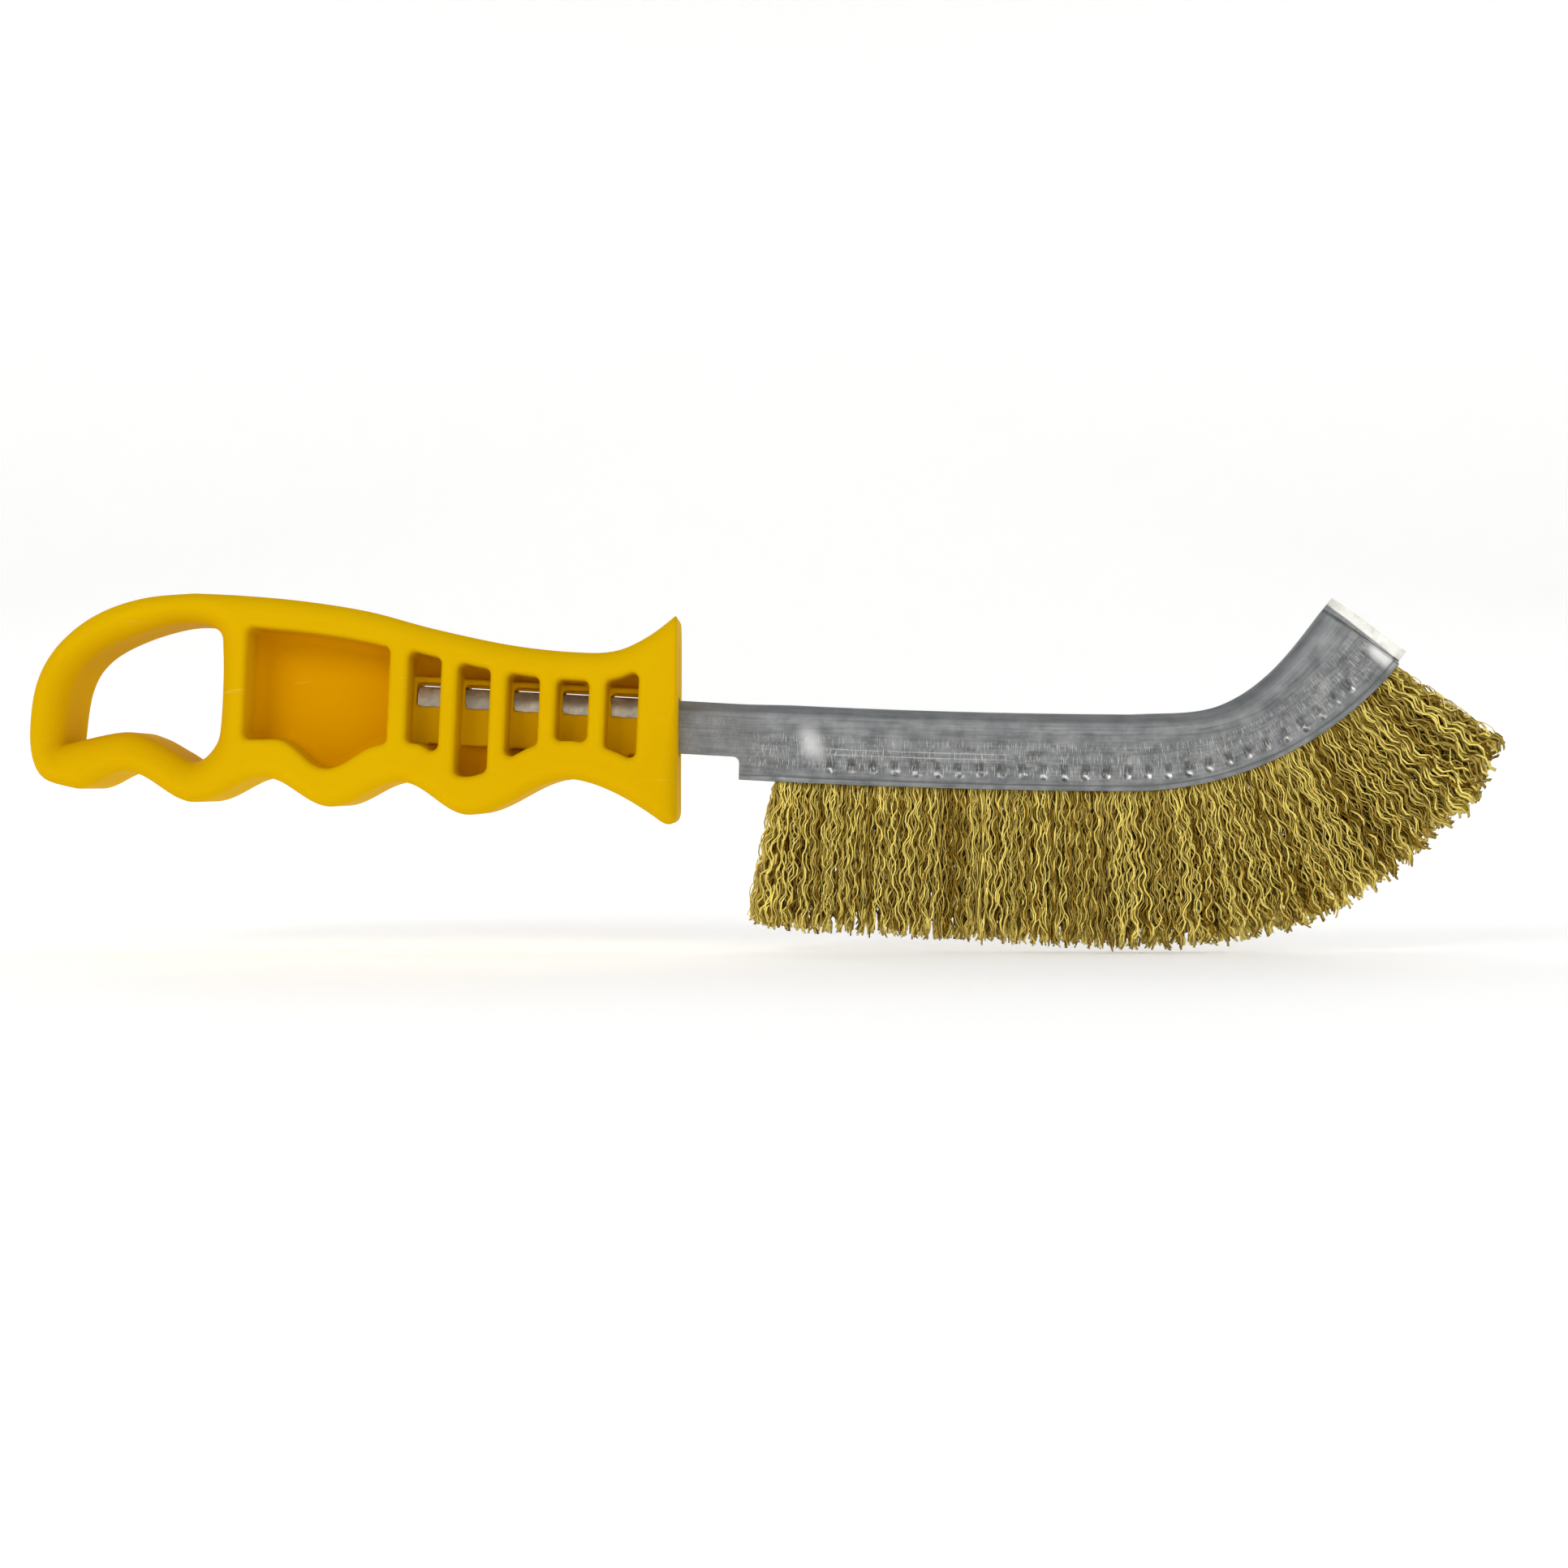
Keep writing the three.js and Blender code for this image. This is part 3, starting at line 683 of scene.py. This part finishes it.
def strip_points(s):
    """Rings of points round the folded sheet: up over the outer skin, round one lip,
    back under the inner skin and round the other lip."""
    outer_u, outer_v, foot = strip_section(s, FULL_GAP + SHEET, SPINE_RISE)
    inner_u, inner_v, foot = strip_section(s, FULL_GAP, SPINE_RISE - SHEET)
    station = s[:, None]
    rounding = np.array([-0.02, -0.13, -0.57, -0.68])  # across the lip's round edge
    lip_u = FULL_GAP + SHEET + rounding
    lip_v = foot[:, None] + np.array([0.06, 0.0, 0.0, 0.06])
    u = np.concatenate([outer_u, np.broadcast_to(-lip_u, (len(s), 4)), inner_u[:, ::-1],
                        np.broadcast_to(lip_u[::-1], (len(s), 4))], axis=1)
    v = np.concatenate([outer_v, lip_v, inner_v[:, ::-1], lip_v[:, ::-1]], axis=1)
    gap = half_gap(station, v)
    size = np.abs(u)
    squeezed = np.where(size <= FULL_GAP, size * gap / FULL_GAP, gap + size - FULL_GAP)
    outside = np.zeros(u.shape[1])
    outside[: outer_u.shape[1] + 2] = 1
    outside[-2:] = 1
    leaning = np.clip(size / (FULL_GAP + SHEET), 0, 1) ** 2
    squeezed = squeezed + hammering(station, v, np.sign(u)) * outside * leaning
    return along_lip(np.broadcast_to(station, u.shape), np.sign(u) * squeezed, v), v


s = np.concatenate([
    np.linspace(0, 47, 48),
    np.linspace(47, TANG_LENGTH - NOTCH_RADIUS, 21)[1:],
    TANG_LENGTH - NOTCH_RADIUS * (1 - np.sin(np.linspace(0, np.pi / 2, 8)[1:])),
    np.linspace(TANG_LENGTH + 0.1, LIP_LENGTH - 5, 420),
    np.linspace(LIP_LENGTH - 5, LIP_LENGTH, 30)[1:],
])
rings, heights = strip_points(s)
rows, columns = rings.shape[:2]
skin_count = (columns - 8) // 2
outer = np.arange(skin_count)
facing = columns - 5 - outer
cap = np.stack([outer[:-1], outer[1:], facing[1:], facing[:-1]], -1)
lips = np.array([
    [skin_count - 1, skin_count, skin_count + 3, skin_count + 4],
    [skin_count, skin_count + 1, skin_count + 2, skin_count + 3],
    [columns - 5, columns - 4, columns - 1, 0],
    [columns - 4, columns - 3, columns - 2, columns - 1],
])
cap = np.concatenate([cap, lips])
last = (rows - 1) * columns
faces = grid_faces(rows, columns, close_columns=True)

steel, tree, shader = start_material("galvanised_steel")
place = tree.node("ShaderNodeTexCoord", None, None, output="Object")
sheet_map = tree.node("ShaderNodeUVMap", {"uv_map": "sheet"}, None, output="UV")
ahead = tree.node("ShaderNodeSeparateXYZ", None, {"Vector": sheet_map}, output="X")
up = tree.node("ShaderNodeSeparateXYZ", None, {"Vector": sheet_map}, output="Y")
mottle = place.noise(260, 6, 0.62)
fine = place.noise(1500, 3, 0.6)
streak = sheet_map.stretched((3.6, 0.28, 1)).noise(1.0, 4, 0.6)
thin_streak = sheet_map.stretched((9.0, 0.45, 1)).noise(1.0, 3, 0.6)
drag = sheet_map.stretched((0.12, 2.2, 1)).noise(1.0, 4, 0.6)
pressed = up.band(5.2, 2.0, 2.2) * ahead.step(58, 62)
scratch = thin_streak.step(0.57, 0.65) * pressed
smudge = sheet_map.stretched((0.16, 0.5, 1)).noise(1.0, 5, 0.65).step(0.47, 0.68) * pressed
hem = up.band(0.95, 0.10, 0.12)
lines = up.band(5.2, 0.03, 0.06) + up.band(6.15, 0.03, 0.06)
lines = lines * sheet_map.stretched((0.35, 0.01, 1)).noise(1.0, 3, 0.6).step(0.34, 0.46)
lines = lines * ahead.band(90.5, 14, 4)
along_pitch = (ahead - WIRE_START).maths("MODULO", ahead - WIRE_START, BUNDLE_PITCH)
dimpled = ahead.band(125, 50, 3)
# Painted shade: a dark crescent above each dimple, where the dimple's upper wall faces down,
# away from the light.
dimple_shade = along_pitch.band(BUNDLE_PITCH / 2, 0.45, 0.6) * up.band(3.9, 0.35, 0.7)
dimple_shade = dimple_shade * dimpled
dimple_glint = along_pitch.band(BUNDLE_PITCH / 2, 0.25, 0.35) * up.band(2.5, 0.15, 0.35)
dimple_glint = dimple_glint * dimpled
# Painted highlight: a soft bright patch where the legs spread at the shoulder.
shoulder = (ahead + up * 0.25).band(72.6, 0.1, 3.0) * up.band(7.0, 0.3, 4.0)
# Painted highlight: a bright patch near the end of the hook.
end_highlight = ahead.band(182.0, 0.3, 1.8) * up.band(3.0, 0.8, 2.4)
tang_face = ahead.step(46, 43)
# Painted highlight: a thin lighter line along the bend where the legs meet the crown.
spine_edge_highlight = up.band(10.6, 0.35, 0.25) * ahead.step(60, 66)
# Painted light: the crown's band is painted a lighter, bluish grey, as light on the top of the
# channel; the same band is also made rougher.
spine_side = up.step(11.0, 11.7)
worn_end = ahead.step(LIP_LENGTH - 2.3, LIP_LENGTH - 1.9)
tool_marks = thin_streak.step(0.45, 0.62) * ahead.band(53, 7, 3)
cloudy = (mottle * 0.6 + drag * 0.4).step(0.3, 0.7)
grey = cloudy.mix((0.13, 0.138, 0.146, 1), (0.32, 0.325, 0.32, 1))
tang_scratch = thin_streak.step(0.55, 0.64) * ahead.band(54, 6, 3)
grey = (tang_scratch * 0.55).mix(grey, (0.70, 0.70, 0.68, 1))
grey = (smudge * 0.75).mix(grey, (0.13, 0.125, 0.115, 1))
grey = (tool_marks * 0.7).mix(grey, (0.15, 0.13, 0.11, 1))
grey = (spine_side * 0.4).mix(grey, (0.30, 0.315, 0.33, 1))
grey = (spine_edge_highlight * 0.15).mix(grey, (0.45, 0.455, 0.45, 1))
grey = (shoulder * 0.65).mix(grey, (0.80, 0.80, 0.79, 1))
grey = (dimple_shade * 0.65).mix(grey, (0.08, 0.078, 0.07, 1))
grey = (dimple_glint * 0.6).mix(grey, (0.85, 0.85, 0.83, 1))
grey = (end_highlight * 0.8).mix(grey, (0.92, 0.92, 0.90, 1))
# Painted light: the tang's steel, seen in the handle's slots, is painted paler and yellowish,
# standing in for the light and the yellow plastic reflected in it there; its mottle is the
# steel's own.
tang_grey_and_reflection = mottle.step(0.35, 0.65).mix((0.42, 0.40, 0.33, 1), (0.86, 0.82, 0.66, 1))
grey = (tang_face * 0.75).mix(grey, tang_grey_and_reflection)
long_scratch = streak.step(0.61, 0.68) * pressed
grey = (long_scratch * 0.5).mix(grey, (0.68, 0.68, 0.66, 1))
grey = (hem * 0.6).mix(grey, (0.10, 0.10, 0.10, 1))
grey = (scratch * 0.7).mix(grey, (0.75, 0.75, 0.73, 1))
grey = (lines * 0.6).mix(grey, (0.62, 0.62, 0.60, 1))
worn_grey = mottle.step(0.3, 0.6).mix((0.62, 0.61, 0.55, 1), (0.93, 0.92, 0.86, 1))
grey = worn_end.mix(grey, worn_grey)
relief = streak * 0.5 + fine * 0.3 + mottle * 0.5
bump = tree.node(
    "ShaderNodeBump", None, {"Strength": 0.35, "Distance": 0.0001, "Height": relief}
)
roughness = mottle * 0.25 + fine * 0.12 + smudge * 0.15 - scratch * 0.1
connect(tree, shader, {
    "Base Color": grey,
    "Metallic": 1.0 - tang_face * 0.65,
    "Roughness": roughness + spine_side * 0.18 + 0.20,
    "Normal": bump,
})

face_sets = [faces, cap + last, cap[:, ::-1]]
strip = make_object("strip_sheet", rings.reshape(-1, 3) * MM, face_sets, steel)
uv = strip.data.uv_layers.new(name="sheet")
flat_place = np.stack(np.broadcast_arrays(s[:, None], heights), -1).reshape(-1, 2)
corner_point = np.empty(len(strip.data.loops), np.int32)
strip.data.loops.foreach_get("vertex_index", corner_point)
uv.data.foreach_set("uv", flat_place[corner_point].astype(np.float32).ravel())
strip.data.set_sharp_from_angle(angle=math.radians(50))
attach(strip, "root")
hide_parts("brush_strip")

# --- Core wire ------------------------------------------------------------------
# A plain drawn steel wire inside the channel, over which the brush wires are
# folded. The CAD solid is its true shape.

drawn, tree, shader = start_material("drawn_wire")
place = tree.node("ShaderNodeTexCoord", None, None, output="Object")
haze = place.noise(900, 3)
tone = haze.mix((0.16, 0.165, 0.17, 1), (0.32, 0.32, 0.33, 1))
connect(tree, shader, {"Base Color": tone, "Metallic": 1.0, "Roughness": haze * 0.3 + 0.3})
core = bpy.data.objects["core_wire"]
core.data.materials.clear()
core.data.materials.append(drawn)

# --- Wires ----------------------------------------------------------------------
# Thirty bundles of brass-coated steel wire, crimped into waves. Each wire is a
# hairpin folded over the core wire; its two legs leave the channel on either side
# and end in small pointed tufts.

TRIM = 29.0  # free length of the wires where the lip is lowest
TRIM_LINE = np.array([  # distance along the lip, free length there
    (64.7, 25.9), (68, 27.4), (90, 27.6), (122, 28.93), (131, 29.02), (144, 30.2),
    (150, 30.8), (162, 29.8), (168, 28.3), (174, 28.4), (179.2, 24.4),
])
LEAN_FIRST = 3.7  # how far the outermost tips lean out at the handle's end
LEAN_LAST = 1.6  # and at the hook's end
SPREAD_LAST = 3.4  # how far the hook's last wires spread inside the channel
CORE_HEIGHT = 10.3
SPLAY_REACH = 14.0
WIRE_RADIUS = 0.175  # to the corners of its three-sided section
COLUMNS_ACROSS = 13
LAYERS = 4
WAVE_STEP = 1.38  # a quarter of a crimp wave
CRIMP = 0.36
GATHER = 0.85  # how far a tuft's wires draw together at its point
END_GATHER = 0.25  # and in the bundles at the two ends of the brush
GATHER_FROM = 0.74  # the share of a leg's length where it starts to draw in
CRIMP_GROWTH = 2.2  # length below the lip over which the crimp comes to full size
WANDER = 0.5
COLUMN_SPREAD = (1.9, 1.95)  # half a bundle's width at the lip, and below it
LAYER_AT_LIP = (0.75, 0.4)  # depth of the first layer at the lip, and the step
LAYER_BELOW = (0.3, 1.12)  # the same below it
TUFT_PITCH = 1.9
TUFT_LAYER = (0.35, 1.08)  # depth of the first row of tufts, and the step
HOLD_HEIGHTS = (8.0, 3.0)  # where the wires run straight inside the channel
BUNDLE_SEED = 500


def near_end(s, end):
    """One at an end of the wires, falling to 0 on both sides of it as a parabola."""
    return np.maximum(0, 1 - np.abs(s - end) / SPLAY_REACH) ** 2


def splay(s, u, v):
    """Leans the outermost wires out of the ends of the brush, cuts all to the trim
    line, and carries them to their place on the lip."""
    below, inside = np.clip(-v / TRIM, 0, 1), np.clip((8 - v) / 8, 0, 1)
    lean = (SPREAD_LAST * inside + LEAN_LAST * below) * near_end(s, WIRE_END)
    lean = lean - LEAN_FIRST * below * near_end(s, WIRE_START)
    cut = np.interp(s, *TRIM_LINE.T) / TRIM
    return along_lip(s + lean, u, np.where(v < 0, v * cut, v))


def bundle_points(index):
    """Rings of three points along each hairpin. The middle line of a leg is straight
    in the channel, spreads below it and draws in to its tuft's point, less so in the
    two end bundles. The crimp adds a wave of two steps to one side and two to the
    other, in the tuft's own plane."""
    rng = np.random.default_rng(BUNDLE_SEED + index)
    wires = COLUMNS_ACROSS * LAYERS
    middle = WIRE_START + (index + 0.5) * BUNDLE_PITCH
    column, layer = np.divmod(np.arange(wires), LAYERS)
    column = (column + 0.5) / COLUMNS_ACROSS * 2 - 1
    steps = int(round(np.interp(middle, *TRIM_LINE.T) / WAVE_STEP))
    at_end = max(rise(index, 2, 0), rise(index, BUNDLE_COUNT - 3, BUNDLE_COUNT - 1))
    legs = []
    for side in (1, -1):
        lane = (column > 0).astype(int)
        tuft = lane * LAYERS + layer
        tufts = 2 * LAYERS
        off_middle = np.abs(column - (lane - 0.5))
        at_lip = column * COLUMN_SPREAD[0] + rng.normal(0, 0.08, wires)
        room = half_gap(middle, 0.0) - 0.25
        depth_lip = LAYER_AT_LIP[0] + layer * LAYER_AT_LIP[1] + rng.normal(0, 0.06, wires)
        depth_lip = np.minimum(depth_lip, room)
        spread_s = column * COLUMN_SPREAD[1] + rng.normal(0, 0.3, wires)
        spread_u = LAYER_BELOW[0] + layer * LAYER_BELOW[1] + rng.normal(0, 0.3, wires)
        spread_u = np.clip(spread_u, 0.1, 4.0)
        tuft_lane, tuft_row = np.divmod(np.arange(tufts), LAYERS)
        point_s = (tuft_lane - 0.5) * TUFT_PITCH + rng.normal(0, 0.32, tufts)
        point_u = TUFT_LAYER[0] + tuft_row * TUFT_LAYER[1] + rng.normal(0, 0.25, tufts)
        point_s, point_u = point_s[tuft], np.clip(point_u, 0.1, 3.9)[tuft]
        tip = TRIM - 0.15 - np.abs(rng.normal(0, 0.8, tufts))[tuft]
        tip = tip - 2.6 * off_middle - rng.gamma(1.6, 0.3, wires)
        start = rng.uniform(0.25, 1, wires)
        count = np.arange(steps + 1)[None, :]
        start = start[:, None]
        share = np.where(count == 0, 0, (count - 1 + start) / (steps - 1 + start))
        share = share ** (1 + rng.normal(0, 0.03, wires))[:, None]
        phase = rng.integers(0, 4, tufts)[tuft] + (rng.random(wires) < 0.2)
        wave = np.where((count + phase[:, None]) % 4 < 2, 1, -1)
        wave = wave * rng.normal(1, 0.12, (wires, steps + 1))
        grow = np.clip(share * TRIM / CRIMP_GROWTH, 0, 1)
        size = CRIMP * rng.uniform(0.75, 1.2, wires)[:, None] * grow
        plane = (rng.normal(0, 0.5, tufts)[tuft] + rng.normal(0, 0.25, wires))[:, None]
        swings = share * rng.uniform(0.5, 1.4, wires)[:, None] + rng.random(wires)[:, None]
        wander = WANDER * np.sin(2 * np.pi * swings)
        ease = rise(share, 0, 0.55)
        gather = blend(GATHER, END_GATHER, at_end) * rise(share, GATHER_FROM, 1.0)
        run_s = blend(at_lip[:, None], spread_s[:, None], ease)
        run_u = blend(depth_lip[:, None], spread_u[:, None], share**0.8)
        run_s = blend(run_s, point_s[:, None], gather) + wave * size * np.cos(plane)
        run_u = blend(run_u, point_u[:, None], gather) + wave * size * np.sin(plane)
        run_s = run_s + wander * grow * (1 - gather)
        run_v = -share * tip[:, None]
        held_s = np.repeat(at_lip[:, None] * 0.97, 2, axis=1)
        held_u = np.repeat(np.minimum(0.95 + layer * 0.36, room)[:, None], 2, axis=1)
        held_v = np.broadcast_to(HOLD_HEIGHTS, (wires, 2))
        line_s = np.concatenate([held_s, run_s], axis=1) + middle
        line_u = np.concatenate([held_u, run_u], axis=1) * side
        line_v = np.concatenate([held_v, run_v], axis=1)
        legs.append((line_s, line_u, line_v, np.full(line_s.shape, float(side))))
    fold = 1.05 + 0.3 * layer[:, None]
    top = (legs[0][0][:, :1], 0 * fold, CORE_HEIGHT + fold, 0 * fold)
    line_s, line_u, line_v, outward = (
        np.concatenate([a[:, ::-1], t, b], axis=1) for a, t, b in zip(legs[0], top, legs[1])
    )
    turn = rng.uniform(0, 2 * np.pi, wires)[:, None, None] + np.arange(3) * 2 * np.pi / 3
    radius = WIRE_RADIUS * rng.uniform(0.92, 1.06, wires)[:, None, None]
    beside, out = radius * np.cos(turn), radius * np.sin(turn)
    s = line_s[..., None] + beside
    u = line_u[..., None] + out * outward[..., None]
    v = line_v[..., None] + out * (outward[..., None] == 0)
    tone = np.broadcast_to(rng.random(wires)[:, None, None], s.shape)
    along = np.broadcast_to(np.clip(-line_v / TRIM, 0, 1)[..., None], s.shape)
    return splay(s, u, v), tone, along


brass, tree, shader = start_material("brass_coated_wire")
place = tree.node("ShaderNodeTexCoord", None, None, output="Object")
tone = tree.node("ShaderNodeAttribute", {"attribute_name": "tone"}, None, output="Fac")
along = tree.node("ShaderNodeAttribute", {"attribute_name": "along"}, None, output="Fac")
patch = place.noise(700, 3, 0.6)
gold = (tone * 0.8 + patch * 0.2).step(0.1, 0.9)
gold = gold.mix((0.25, 0.135, 0.008, 1), (1.0, 0.83, 0.22, 1))
# Painted shade: each wire darkens to brown over the last part of its length, at its tip.
gold = (along.step(0.93, 1.0) * 0.5).mix(gold, (0.30, 0.17, 0.04, 1))
bump = tree.node(
    "ShaderNodeBump", None, {"Strength": 0.2, "Distance": 0.00003, "Height": patch}
)
connect(tree, shader, {
    "Base Color": gold,
    "Metallic": 0.9,
    "Roughness": patch * 0.2 + tone * 0.1 + 0.24,
    "Normal": bump,
})

for index in range(BUNDLE_COUNT):
    rings, tones, reach = bundle_points(index)
    wires, rows = rings.shape[:2]
    tube = grid_faces(rows, 3, close_columns=True)
    starts = np.arange(wires)[:, None, None] * rows * 3
    sides = (tube[None] + starts).reshape(-1, 4)
    ends = np.array([[2, 1, 0], [rows * 3 - 3, rows * 3 - 2, rows * 3 - 1]])
    caps = (ends[None] + starts).reshape(-1, 3)
    number = f"{index + 1:02d}"
    bundle = make_object(f"wires_{number}", rings.reshape(-1, 3) * MM, [sides, caps], brass)
    for name, values in (("tone", tones), ("along", reach)):
        layer = bundle.data.attributes.new(name, "FLOAT", "POINT")
        layer.data.foreach_set("value", values.astype(np.float32).ravel())
    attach(bundle, "root")
    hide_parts(f"wire_bundle_{number}")
